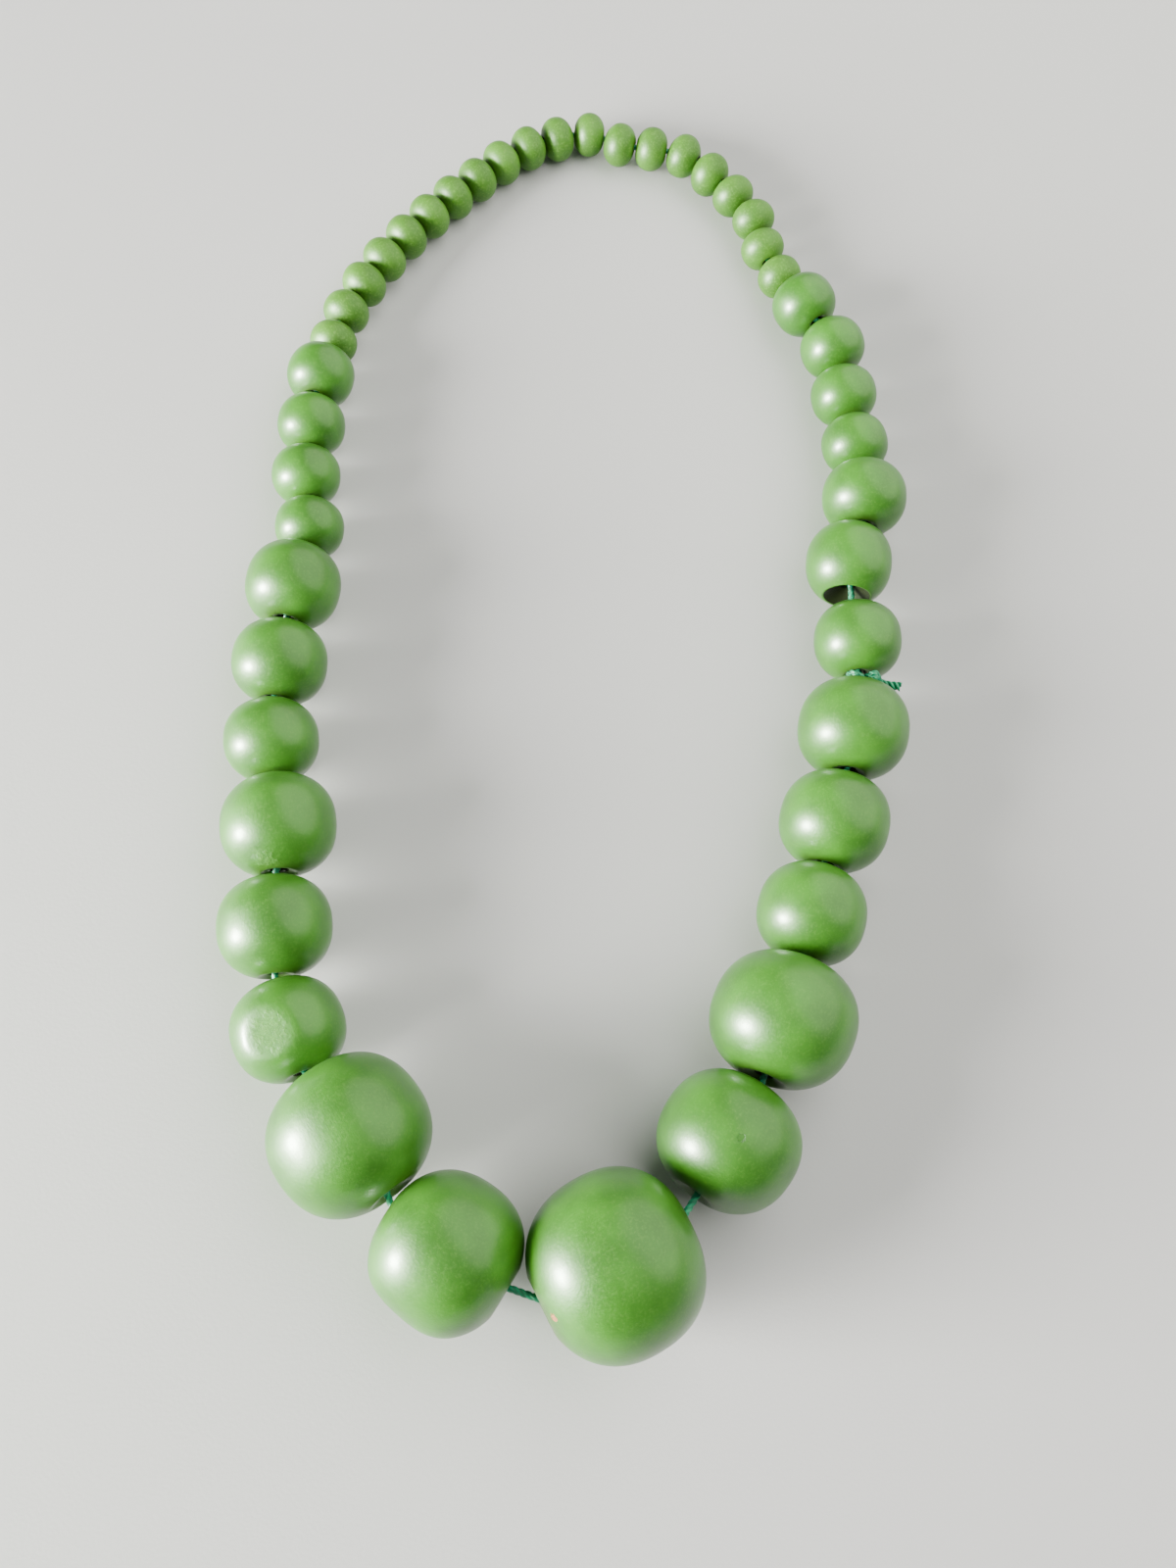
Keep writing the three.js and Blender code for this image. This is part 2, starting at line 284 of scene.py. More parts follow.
@dataclass(frozen=True)
class PaintFinish:
    """Green lacquer over turned wood. The wood's pores and the brush show in it faintly. Its ends are painted
    darker towards the joints, and its bore near-black, as painted shade.
    """

    name: str
    deep: Colour
    light: Colour
    pale: Colour
    # Painted shade: a darker olive for the bead's ends, where its neighbours meet it.
    joint_shade: Colour
    roughness: float
    coat: float
    coat_roughness: float
    grain: float
    mottle: float
    # Near-black painted shade inside the bare bore and over bead 32's wide dished end. The wood there also
    # has no lacquer.
    bore_shade: Colour = (0.012, 0.017, 0.004)
    cloud_size: float = 9 * MM
    mottle_size: float = 0.55 * MM
    pore_size: float = 0.28 * MM
    pore_stretch: float = 0.16
    peel_size: float = 1.6 * MM

    def material(
        self,
        marks: Sequence[tuple[Mark, np.ndarray]] = (),
        suffix: str = "",
    ) -> bpy.types.Material:
        """Makes the material.

        Args:
            marks: Worn spots, each with its place.
            suffix: What the name ends with.

        Returns:
            The material.
        """
        sketch = ShaderSketch(self.name + suffix)
        place = sketch.wood_place()
        clouds = sketch.noise(place, self.cloud_size, 3)
        mottle = sketch.noise(place, self.mottle_size, 3, 0.6)
        pores = sketch.noise(sketch.wood_place((1, 1, self.pore_stretch)), self.pore_size, 2, 0.55)
        peel = sketch.noise(place, self.peel_size, 2)
        colour = sketch.blend(sketch.span(clouds, 0.3, 0.7, 0, 1), self.deep, self.light)
        colour = sketch.blend(sketch.span(mottle, 0.45, 0.75, 0, self.mottle), colour, self.pale)
        colour = sketch.blend(sketch.span(pores, 0.3, 0.42, 0.22 * self.grain, 0), colour, self.deep)
        out = sketch.node("ShaderNodeAttribute", attribute_name=OUTNESS).outputs["Fac"]
        # Painted shade: the colour darkens to a dark olive near the bead's ends, where neighbouring beads
        # shade it. The clouds make the edge of this shade uneven.
        joint_shade_reach = sketch.math("ADD", out, sketch.math("MULTIPLY", clouds, 0.25))
        colour = sketch.blend(sketch.span(joint_shade_reach, 0.38, 0.72, 0.6, 0), colour, self.joint_shade)
        # Inside the bare radius the lacquer and its coat end, and the bore is coloured near-black, as painted
        # shade.
        painted = sketch.span(out, 0.04, 0.1, 0, 1)
        colour = sketch.blend(painted, self.bore_shade, colour)
        rough = sketch.span(mottle, 0.3, 0.7, self.roughness - 0.05, self.roughness + 0.07)
        normal = sketch.bump(peel, 0.035 * MM)
        normal = sketch.bump(mottle, 0.032 * self.grain * MM, normal)
        normal = sketch.bump(pores, 0.03 * self.grain * MM, normal)
        look = PaintLook(colour, rough, sketch.math("MULTIPLY", painted, self.coat), normal)
        for mark, spot in marks:
            self.wear(sketch, mark, spot, look)
        sketch.set(Base_Color=look.colour, Roughness=look.rough, Normal=look.normal)
        sketch.set(Coat_Weight=look.coat, Coat_Roughness=self.coat_roughness)
        sketch.set(Coat_Normal=sketch.bump(peel, 0.02 * MM), IOR=1.5, Specular_IOR_Level=0.2)
        return sketch.material

    def wear(self, sketch: ShaderSketch, mark: Mark, place: np.ndarray, look: PaintLook) -> None:
        """Works one worn spot into the paint.

        Args:
            sketch: The material.
            mark: The spot.
            place: Where it lies.
            look: The paint's looks, which are changed.
        """
        here = sketch.place()
        inputs = {0: here, 1: tuple(place)}
        away = sketch.node("ShaderNodeVectorMath", inputs, operation="DISTANCE").outputs["Value"]
        ragged = sketch.math("SUBTRACT", sketch.noise(here, mark.width / 3, 3, 0.6), 0.5)
        edge = sketch.math("ADD", away, sketch.math("MULTIPLY", ragged, mark.width))
        inside = sketch.span(edge, 0.38 * mark.width, 0.5 * mark.width, 1, 0)
        if mark.kind is MarkKind.CHIP:
            wood = sketch.blend(sketch.noise(here, 0.3 * MM, 3), (0.30, 0.10, 0.04), (0.44, 0.18, 0.075))
            look.colour = sketch.blend(inside, look.colour, wood)
            look.rough = sketch.math("MAXIMUM", look.rough, sketch.math("MULTIPLY", inside, 0.8))
            look.coat = sketch.math("MULTIPLY", look.coat, sketch.span(inside, 0, 1, 1, 0.1))
            look.normal = sketch.bump(inside, -0.12 * MM, look.normal)
        elif mark.kind is MarkKind.NICK:
            look.colour = sketch.blend(sketch.math("MULTIPLY", inside, 0.6), look.colour, self.deep)
            look.normal = sketch.bump(inside, -0.2 * MM, look.normal)
        else:
            soft = sketch.span(edge, 0.25 * mark.width, 0.55 * mark.width, 1, 0)
            pits = sketch.noise(here, 0.7 * MM, 4, 0.7)
            pale = sketch.math("MULTIPLY", soft, sketch.span(pits, 0.42, 0.66, 0.0, 0.4))
            look.colour = sketch.blend(pale, look.colour, self.pale)
            look.rough = sketch.math("ADD", look.rough, sketch.math("MULTIPLY", soft, 0.2))
            look.coat = sketch.math("MULTIPLY", look.coat, sketch.span(soft, 0, 1, 1, 0.25))
            look.normal = sketch.bump(sketch.math("MULTIPLY", soft, pits), 0.16 * MM, look.normal)


@dataclass(frozen=True)
class ThreadFinish:
    """Satin green cord, whose fibres follow its twist. The grooves between its plies are painted darker, as
    painted shade.
    """

    name: str = "satin_thread"
    deep: Colour = (0.004, 0.15, 0.075)
    light: Colour = (0.012, 0.43, 0.19)
    roughness: float = 0.42
    fibre_size: float = 0.12 * MM
    fibre_stretch: float = 0.08
    tone_size: float = 2.5 * MM
    # Distances from the cord's middle over which the painted shade in the ply grooves fades out.
    groove_shade_bottom: float = 0.6 * MM
    groove_shade_top: float = 0.73 * MM

    def material(self) -> bpy.types.Material:
        """Makes the material."""
        sketch = ShaderSketch(self.name)
        place = sketch.wood_place()
        fibres = sketch.noise(sketch.wood_place((1, 1, self.fibre_stretch)), self.fibre_size, 2, 0.6)
        tone = sketch.noise(place, self.tone_size, 2)
        colour = sketch.blend(sketch.span(tone, 0.3, 0.7, 0.25, 0.9), self.deep, self.light)
        colour = sketch.blend(sketch.span(fibres, 0.35, 0.55, 0.45, 0), colour, self.deep)
        # Painted shade: the colour darkens in the grooves between the plies, close to the cord's middle.
        across = sketch.node("ShaderNodeVectorMath", {0: place, 1: (1, 1, 0)}, operation="MULTIPLY")
        length = sketch.node("ShaderNodeVectorMath", {0: across.outputs[0]}, operation="LENGTH")
        groove = sketch.span(length.outputs["Value"], self.groove_shade_bottom, self.groove_shade_top, 0.75, 0)
        colour = sketch.blend(groove, colour, self.deep)
        rough = sketch.span(fibres, 0.3, 0.7, self.roughness - 0.06, self.roughness + 0.1)
        sketch.set(Base_Color=colour, Roughness=rough, Normal=sketch.bump(fibres, 0.05 * MM))
        sketch.set(Coat_Weight=0.1, Coat_Roughness=0.25, IOR=1.45)
        return sketch.material


@dataclass(frozen=True)
class FloorFinish:
    """A plain pale surface with a very fine tooth."""

    name: str = "pale_floor"
    colour: Colour = (0.53, 0.525, 0.515)
    shade: Colour = (0.50, 0.495, 0.485)
    tooth_size: float = 0.8 * MM
    cloud_size: float = 120 * MM

    def material(self) -> bpy.types.Material:
        """Makes the material."""
        sketch = ShaderSketch(self.name)
        tooth = sketch.noise(sketch.place(), self.tooth_size, 3)
        clouds = sketch.noise(sketch.place(), self.cloud_size, 2)
        sketch.set(Base_Color=sketch.blend(clouds, self.colour, self.shade), Roughness=0.72)
        sketch.set(Normal=sketch.bump(tooth, 0.03 * MM), Specular_IOR_Level=0.3)
        return sketch.material


@dataclass(frozen=True)
class Turning:
    """How a make of bead is turned, and how finely it is meshed."""

    outline: int
    round: int
    cad_sides: int
    rounding: float
    waviness: float


class BeadGrade(Enum):
    """The two makes of bead on the string, each with its finish and fineness."""

    SMALL = (
        PaintFinish(
            name="matte_green_paint",
            deep=(0.041, 0.139, 0.007),
            light=(0.070, 0.211, 0.016),
            pale=(0.17, 0.34, 0.06),
            joint_shade=(0.035, 0.062, 0.005),
            roughness=0.48,
            coat=0.3,
            coat_roughness=0.42,
            grain=1.6,
            mottle=0.45,
        ),
        Turning(outline=66, round=56, cad_sides=10, rounding=0.93, waviness=0.011),
    )
    LARGE = (
        PaintFinish(
            name="gloss_green_paint",
            deep=(0.024, 0.118, 0.004),
            light=(0.041, 0.182, 0.009),
            pale=(0.11, 0.27, 0.035),
            joint_shade=(0.035, 0.062, 0.004),
            roughness=0.46,
            coat=0.65,
            coat_roughness=0.29,
            grain=1.2,
            mottle=0.28,
        ),
        Turning(outline=96, round=84, cad_sides=14, rounding=0.87, waviness=0.006),
    )

    @property
    def finish(self) -> PaintFinish:
        """The paint."""
        return self.value[0]

    @property
    def turning(self) -> Turning:
        """The shape and the steps of the mesh."""
        return self.value[1]


@dataclass
class BeadPlace:
    """Where a bead lies and how big it is, as its CAD node says."""

    centre: np.ndarray
    axis: np.ndarray
    radius: float
    half: float
    mouth: float
    bore: float

    @classmethod
    def of_node(cls, node: bpy.types.Object, sides: int) -> "BeadPlace":
        """Reads the bead's place from its node. The rings round its bore's mouths lie nearest the middle.

        Args:
            node: The CAD node's object.
            sides: How many points each ring has.

        Returns:
            The place.
        """
        points = np.array([vertex.co for vertex in node.data.vertices], float)
        points = np.unique(np.round(points, 7), axis=0)
        centre = (points.min(0) + points.max(0)) / 2
        for _ in range(2):
            away = np.linalg.norm(points - centre, axis=1)
            rings = points[np.argsort(away)[: 2 * sides]]
            centre = rings.mean(0)
        axis = np.linalg.svd(rings - centre)[2][0]
        along = (rings - centre) @ axis
        across = np.linalg.norm(rings - centre - np.outer(along, axis), axis=1)
        reached = (points - centre) @ axis
        out = np.linalg.norm(points - centre - np.outer(reached, axis), axis=1)
        return cls(
            centre=centre,
            axis=axis,
            radius=float(out.max()),
            half=float(np.abs(reached).max()),
            mouth=float(np.abs(along).mean()),
            bore=float(across.mean()),
        )

    def mouth_at(self, side: int, inset: float = 0.0) -> np.ndarray:
        """The middle of its bore's mouth, or a point inside it.

        Args:
            side: 1 for the mouth towards the next bead and -1 for the one before.
            inset: How far inside.

        Returns:
            The point.
        """
        return self.centre + side * (self.mouth - inset) * self.axis


class MeshWork:
    """Turns grids of points into objects."""

    def closed_grid(
        self,
        name: str,
        grid: np.ndarray,
        wood: np.ndarray,
        outness: np.ndarray,
    ) -> bpy.types.Object:
        """Makes an object from a grid that closes on itself both ways.

        Args:
            name: The object's name.
            grid: Its points, by row and column.
            wood: Each point's place in its own piece of wood.
            outness: Each row's distance from the bore's middle, as a share of the widest.

        Returns:
            The object.
        """
        rows, columns = grid.shape[:2]
        here = np.arange(rows * columns).reshape(rows, columns)
        below = np.roll(here, -1, axis=0)
        faces = np.stack([here, np.roll(here, -1, axis=1), np.roll(below, -1, axis=1), below], -1)
        made = self.shape(name, grid.reshape(-1, 3), faces.reshape(-1, 4).tolist(), wood.reshape(-1, 3))
        attribute = made.data.attributes.new(OUTNESS, "FLOAT", "POINT")
        attribute.data.foreach_set("value", np.repeat(outness, columns).astype(np.float32))
        return made

    def shape(
        self,
        name: str,
        points: np.ndarray,
        faces: list[list[int]],
        wood: np.ndarray,
    ) -> bpy.types.Object:
        """Makes an object with smooth faces.

        Args:
            name: The object's name.
            points: Its points.
            faces: Its faces, as the numbers of their points.
            wood: Each point's place in its own piece of wood.

        Returns:
            The object.
        """
        mesh = bpy.data.meshes.new(name)
        mesh.from_pydata(points.tolist(), [], faces)
        mesh.polygons.foreach_set("use_smooth", [True] * len(mesh.polygons))
        attribute = mesh.attributes.new(WOOD_SPACE, "FLOAT_VECTOR", "POINT")
        attribute.data.foreach_set("vector", wood.astype(np.float32).ravel())
        mesh.update()
        made = bpy.data.objects.new(name, mesh)
        bpy.context.scene.collection.objects.link(made)
        return made


@dataclass
class Bead:
    """One turned and drilled bead."""

    number: int
    place: BeadPlace
    grade: BeadGrade
    end_share: float = END_SHARE
    flats: Sequence[Flat] = ()
    marks: Sequence[Mark] = ()
    rim_softness: float = 0.022

    @property
    def node_name(self) -> str:
        """The CAD node that it stands for."""
        return f"bead_{self.number:02d}"

    @property
    def bare(self) -> float:
        """How far from its axis the paint ends: at the rim of a wide end, or round the bore. Inside it the
        bare wood is coloured near-black, as painted shade.
        """
        wide = self.end_share > END_SHARE
        return 0.96 * self.end_share * self.place.radius if wide else 1.2 * self.place.bore

    def outline(self) -> np.ndarray:
        """Draws half of the bead's section as a closed line with softened corners.

        Returns:
            Points of distance from the axis and place along it, closer together where the line bends.
        """
        place = self.place
        rounding = self.grade.turning.rounding
        widest = math.acos(self.end_share ** (1 / rounding))
        turned = np.linspace(-widest, widest, OUTLINE_STEPS)
        along = np.sign(turned) * np.abs(np.sin(turned) / math.sin(widest)) ** rounding
        side = place.radius * np.cos(turned) ** rounding + 1j * place.half * along
        line = np.append(side, [place.bore + 1j * place.mouth, place.bore - 1j * place.mouth, side[0]])
        even = self.spread(line, np.abs(np.diff(line)), SOFTENING_STEPS)
        pace = float(np.abs(np.diff(even)).mean())
        waves = np.fft.fftfreq(len(even), pace)
        softness = self.rim_softness * place.radius
        smooth = np.fft.ifft(np.fft.fft(even) * np.exp(-2 * (np.pi * softness * waves) ** 2))
        closed = np.append(smooth, smooth[0])
        steps = np.diff(closed)
        bends = np.abs(np.angle(np.roll(steps, -1) / steps)) / np.abs(steps) * place.radius
        weights = np.abs(steps) * (EVEN_WEIGHT + BEND_WEIGHT * np.minimum(bends, SHARPEST_BEND))
        return self.spread(closed, weights, self.grade.turning.outline)

    def spread(self, line: np.ndarray, weights: np.ndarray, count: int) -> np.ndarray:
        """Spreads points over a closed line, evenly by the weights of its steps."""
        reached = np.concatenate([[0], np.cumsum(weights)])
        wanted = np.linspace(0, reached[-1], count, endpoint=False)
        return np.interp(wanted, reached, line.real) + 1j * np.interp(wanted, reached, line.imag)

    def waves(self, directions: np.ndarray, rng: np.random.Generator) -> np.ndarray:
        """How far hand turning left the surface from a true sphere, as a share of the radius.

        Args:
            directions: Unit vectors from the bead's centre.
            rng: The bead's own chance.

        Returns:
            One number for each direction.
        """
        total = np.zeros(directions.shape[:-1])
        for _ in range(WAVE_COUNT):
            wave = unit(rng.normal(size=3)) * rng.uniform(*WAVE_PITCH)
            total += np.sin(directions @ wave + rng.uniform(0, 2 * math.pi))
        return self.grade.turning.waviness * total / 2

    def flattened(self, points: np.ndarray) -> np.ndarray:
        """Presses the flats in.

        Args:
            points: The bead's points, from its centre.

        Returns:
            The moved points.
        """
        for flat in self.flats:
            way = facing(flat.azimuth, flat.elevation)
            level = self.place.radius * math.sqrt(1 - flat.width**2)
            soft = flat.softness
            proud = (points @ way - level) / soft
            eased = np.log1p(np.exp(np.minimum(proud, FULLY_PRESSED)))
            pressed = soft * np.where(proud > FULLY_PRESSED, proud, eased)
            points = points - pressed[..., None] * way
        return points

    def build(self, work: MeshWork, paints: dict[str, bpy.types.Material]) -> bpy.types.Object:
        """Makes the bead's mesh, paints it and puts it on the body.

        Args:
            work: Makes the object.
            paints: The shared paints, by name.

        Returns:
            The bead.
        """
        rng = np.random.default_rng(BEAD_SEED + self.number)
        place = self.place
        outline = self.outline()
        across = unit(np.cross(place.axis, (0.0, 0.0, 1.0)))
        above = np.cross(across, place.axis)
        angles = np.linspace(0, 2 * math.pi, self.grade.turning.round, endpoint=False)
        circle = np.cos(angles)[:, None] * across + np.sin(angles)[:, None] * above
        grid = outline.real[:, None, None] * circle + outline.imag[:, None, None] * place.axis
        lengths = np.linalg.norm(grid, axis=-1, keepdims=True)
        grid = self.flattened(grid * (1 + self.waves(grid / lengths, rng)[..., None]))
        frame = np.stack([across, above, place.axis], -1)
        wood = grid @ frame + rng.uniform(-0.5, 0.5, 3)
        points = grid + place.centre
        points[..., 2] -= points[..., 2].min()
        outness = outline.real / place.radius
        # Rows inside the bare radius get outness 0: no lacquer there, and the material paints them near-black
        # as shade.
        outness[outline.real < self.bare] = 0
        bead = work.closed_grid(f"painted_bead_{self.number:02d}", points, wood, outness)
        bead.data.materials.append(self.paint(paints))
        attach(bead, BODY)
        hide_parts(self.node_name)
        return bead

    def paint(self, paints: dict[str, bpy.types.Material]) -> bpy.types.Material:
        """The shared paint of its grade, or its own where it is worn."""
        finish = self.grade.finish
        if not self.marks:
            return paints[finish.name]
        spots = []
        for mark in self.marks:
            way = facing(mark.azimuth, mark.elevation)
            pressed = self.flattened((way * self.place.radius)[None])[0]
            spots.append((mark, self.place.centre + pressed))
        return finish.material(spots, f"_{self.number:02d}")


@dataclass
class BeadRow:
    """All the beads, in order round the string."""

    flats: Sequence[Flat] = (
        Flat(13, 0.35, 140, 12, 0.05 * MM),
        Flat(22, 0.43, 224, 74, 0.28 * MM),
        Flat(24, 0.265, 228, 8, 0.9 * MM),
    )
    marks: Sequence[Mark] = (
        Mark(25, -143.9, 30.3, 1.9 * MM, MarkKind.CHIP),
        Mark(26, -99, 89, 1.7 * MM, MarkKind.NICK),
        Mark(20, -96, 37, 5.5 * MM, MarkKind.SCUFF),
        Mark(22, -136, 74, 9.0 * MM, MarkKind.SCUFF),
    )
    wide_ends: dict[int, float] = field(default_factory=lambda: {32: 0.56})
    small_beads: Sequence[int] = (*range(1, 13), *range(38, 46))
    beads: list[Bead] = field(default_factory=list)

    def read(self, nodes: dict[str, bpy.types.Object]) -> None:
        """Reads every bead's place, with its axis towards the next bead.

        Args:
            nodes: The CAD nodes, by name.
        """
        for i in range(BEAD_COUNT):
            number = i + 1
            grade = BeadGrade.SMALL if number in self.small_beads else BeadGrade.LARGE
            self.beads.append(
                Bead(
                    number=number,
                    place=BeadPlace.of_node(nodes[f"bead_{number:02d}"], grade.turning.cad_sides),
                    grade=grade,
                    end_share=self.wide_ends.get(number, END_SHARE),
                    flats=[flat for flat in self.flats if flat.bead == number],
                    marks=[mark for mark in self.marks if mark.bead == number],
                )
            )
        places = [bead.place for bead in self.beads]
        for i, place in enumerate(places):
            ahead = places[(i + 1) % BEAD_COUNT].centre - places[i - 1].centre
            place.axis = place.axis * np.sign(place.axis @ ahead)

    def build(self, work: MeshWork) -> None:
        """Makes all the beads."""
        paints = {grade.finish.name: grade.finish.material() for grade in BeadGrade}
        for bead in self.beads:
            made = bead.build(work, paints)
            LOG.info("%s: %d faces", made.name, len(made.data.polygons))


@dataclass
class Cordage:
    """Thread of twisted plies, laid along a line."""

    diameter: float = THREAD_DIAMETER
    plies: int = 3
    turn_length: float = 4.2 * MM
    sides: int = 18
    step: float = 0.36 * MM
    groove: float = 0.55
    ragged: float = 0.25 * MM
    flare_length: float = 2.6 * MM

    def line(self, points: np.ndarray) -> np.ndarray:
        """Runs a smooth line through points.

        Args:
            points: The points, at least four of them.

        Returns:
            Points at even steps along the line.
        """
        ends = [2 * points[0] - points[1], 2 * points[-1] - points[-2]]
        all_points = np.vstack([ends[0], points, ends[1]])
        pieces = [self.stretch(all_points[k : k + 4]) for k in range(len(points) - 1)]
        dense = np.vstack([*pieces, points[-1:]])
        reached = np.concatenate([[0], np.cumsum(np.linalg.norm(np.diff(dense, axis=0), axis=1))])
        wanted = np.linspace(0, reached[-1], max(4, round(reached[-1] / self.step)))
        return np.stack([np.interp(wanted, reached, dense[:, k]) for k in range(3)], -1)

    def stretch(self, four: np.ndarray) -> np.ndarray:
        """Draws the middle stretch of a smooth line through four points.

        Args:
            four: The points.

        Returns:
            Points from the second one up to the third.
        """
        chords = np.linalg.norm(np.diff(four, axis=0), axis=1)
        knots = np.concatenate([[0], np.cumsum(chords**0.5)])
        reached = np.linspace(knots[1], knots[2], STRETCH_STEPS, endpoint=False)[:, None]
        layer = list(four)
        for spans in (((0, 1), (1, 2), (2, 3)), ((0, 2), (1, 3)), ((1, 2),)):
            shares = [(reached - knots[low]) / (knots[high] - knots[low]) for low, high in spans]
            layer = [(1 - share) * layer[k] + share * layer[k + 1] for k, share in enumerate(shares)]
        return layer[0]

    def frames(self, line: np.ndarray) -> tuple[np.ndarray, np.ndarray]:
        """Two directions across the line at each point, carried along it without turning."""
        ways = np.gradient(line, axis=0)
        ways /= np.linalg.norm(ways, axis=1, keepdims=True)
        side = unit(np.cross(ways[0], FIRST_SIDE))
        carried = []
        for way in ways:
            side = unit(side - (side @ way) * way)
            carried.append(side)
        sides = np.array(carried)
        return sides, np.cross(ways, sides)

    def section(self, angles: np.ndarray) -> np.ndarray:
        """How far the surface is from the line at angles from a ply, as a share of the radius."""
        share = 2 * math.pi / self.plies
        off = (angles + share / 2) % share - share / 2
        ply = 1 / (1 + 1 / math.sin(share / 2))
        out = 1 - ply
        edge = out * np.cos(off) + np.sqrt(np.maximum(0, ply**2 - (out * np.sin(off)) ** 2))
        return 1 - self.groove * (1 - edge)

    def lay(
        self,
        points: np.ndarray,
        flare: float = 0.0,
        seed: int = 0,
    ) -> tuple[np.ndarray, list[list[int]], np.ndarray]:
        """Lays the cord through points.

        Args:
            points: The points.
            flare: How much its last end has opened, as a share of its radius.
            seed: The number that the chance of an opened end starts from.

        Returns:
            The mesh's points, its faces, and each point's place along the fibres.
        """
        line = self.line(points)
        sides, tops = self.frames(line)
        angles = np.linspace(0, 2 * math.pi, self.sides, endpoint=False)
        run = np.arange(len(line)) * self.step
        off_ply = angles - (2 * math.pi * run / self.turn_length)[:, None]
        reach = self.section(off_ply) * self.diameter / 2
        reach *= 1 + flare * np.clip(1 - (run[-1] - run[:, None]) / self.flare_length, 0, 1) ** 0.7
        ring = np.cos(angles)[:, None] * sides[:, None, :] + np.sin(angles)[:, None] * tops[:, None, :]
        grid = line[:, None, :] + reach[..., None] * ring
        if flare:
            rng = np.random.default_rng(seed)
            way = unit(line[-1] - line[-2])
            grid[-1] += rng.uniform(-self.ragged, self.ragged, self.sides)[:, None] * way
        fibres = np.broadcast_to(run[:, None], reach.shape)
        wood = np.stack([reach * np.cos(off_ply), reach * np.sin(off_ply), fibres], -1)
        here = np.arange(len(line) * self.sides).reshape(len(line), self.sides)
        after = np.roll(here, -1, axis=1)
        around = np.stack([here[:-1], after[:-1], after[1:], here[1:]], -1)
        faces = [*around.reshape(-1, 4).tolist(), here[0, ::-1].tolist(), here[-1].tolist()]
        return grid.reshape(-1, 3), faces, wood.reshape(-1, 3)


@dataclass
class Thread:
    """The thread through all the bores, from one side of the knot to the other."""

    inset: float = 2.3 * MM
    lead: float = 1.3 * MM
    margin: float = 0.1 * MM
    cordage: Cordage = field(default_factory=Cordage)

    def lean(self, place: BeadPlace, way: np.ndarray) -> np.ndarray:
        """How far the taut thread leans over in the mouth of a bore.

        Args:
            place: The bead that is bored.
            way: The way from this mouth to the other one at the joint.

        Returns:
            The move across the bore, at most as far as the bore has room.
        """
        across = way - (way @ place.axis) * place.axis
        room = place.bore - THREAD_DIAMETER / 2 - self.margin
        return across * min(0.5, room / np.linalg.norm(across))

    def route(self, beads: Sequence[Bead]) -> np.ndarray:
        """The points that it follows.

        Args:
            beads: The beads, in order round the string.

        Returns:
            Four points for each bead, by its two mouths.
        """
        order = [beads[(KNOT_AFTER + i) % len(beads)].place for i in range(len(beads))]
        points = [order[0].mouth_at(-1, self.inset)]
        for before, after in zip(order, order[1:]):
            out, back = before.mouth_at(1), after.mouth_at(-1)
            points.append(before.mouth_at(1, self.lead))
            points.append(out + self.lean(before, back - out))
            points.append(back + self.lean(after, out - back))
            points.append(after.mouth_at(-1, self.lead))
        points.append(order[-1].mouth_at(1, self.inset))
        return np.array(points)

    def build(
        self,
        work: MeshWork,
        beads: Sequence[Bead],
        finish: bpy.types.Material,
    ) -> bpy.types.Object:
        """Makes the thread, colours it and puts it on the body.

        Args:
            work: Makes the object.
            beads: The beads, in order round the string.
            finish: Its material.

        Returns:
            The thread.
        """
        points, faces, wood = self.cordage.lay(self.route(beads))
        thread = work.shape("satin_thread", points, faces, wood)
        thread.data.materials.append(finish)
        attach(thread, BODY)
        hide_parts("thread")
        return thread


